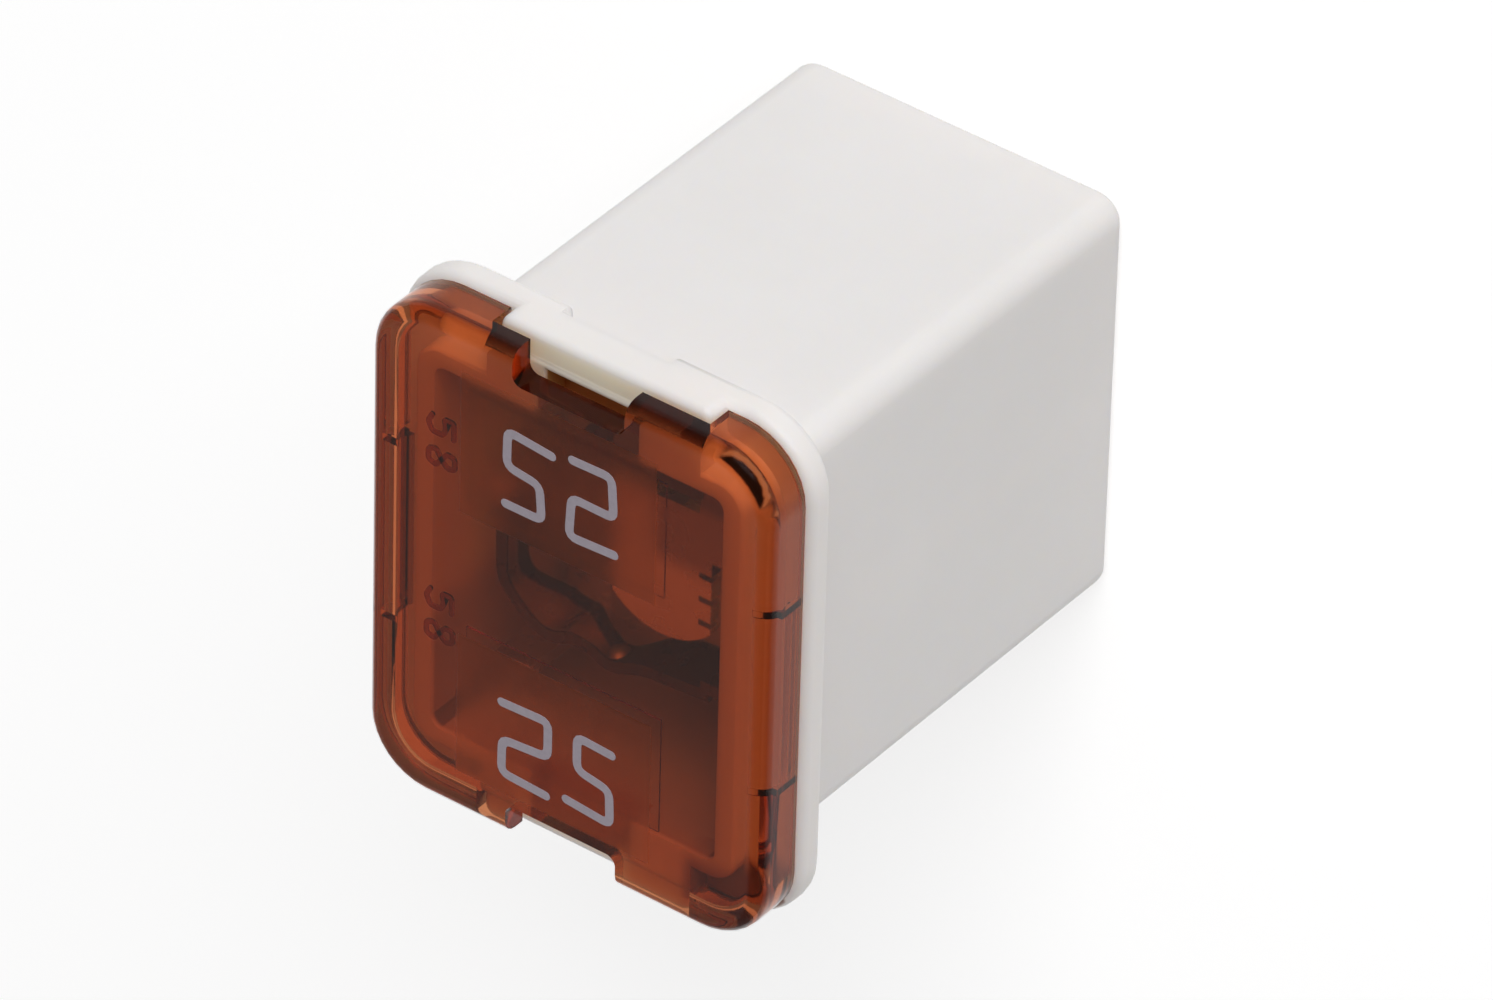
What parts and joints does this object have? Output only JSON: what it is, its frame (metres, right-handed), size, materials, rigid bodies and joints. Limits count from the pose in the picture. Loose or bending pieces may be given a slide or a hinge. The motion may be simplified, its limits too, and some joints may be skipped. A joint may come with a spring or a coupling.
{
  "type": "fusible link",
  "caption": "Low-profile cartridge fusible link: white moulded box with a rim flange, clear amber window cap with end notches, stamped link and female blade sockets.",
  "frame": {"origin": "middle of the flat terminal end, at the bottom of the whole part", "axes": "+Z out of the window, away from the fuse block; +Y along the window's long side; +X across the window, towards the wider cap tabs"},
  "size_m": [0.0152, 0.0182, 0.0192],
  "materials": {
    "housing": "satin moulded",
    "window_cap": "clear amber, polished",
    "fuse_element": "tin plated",
    "tin_pellet": "cast tin",
    "spring": "rolled"
  },
  "bodies": {
    "root": {"housing": "housing", "window_cap": "window_cap", "fuse_element": "fuse_element", "tin_pellet": "tin_pellet", "spring_upper": "spring", "spring_lower": "spring"}
  },
  "joints": []
}
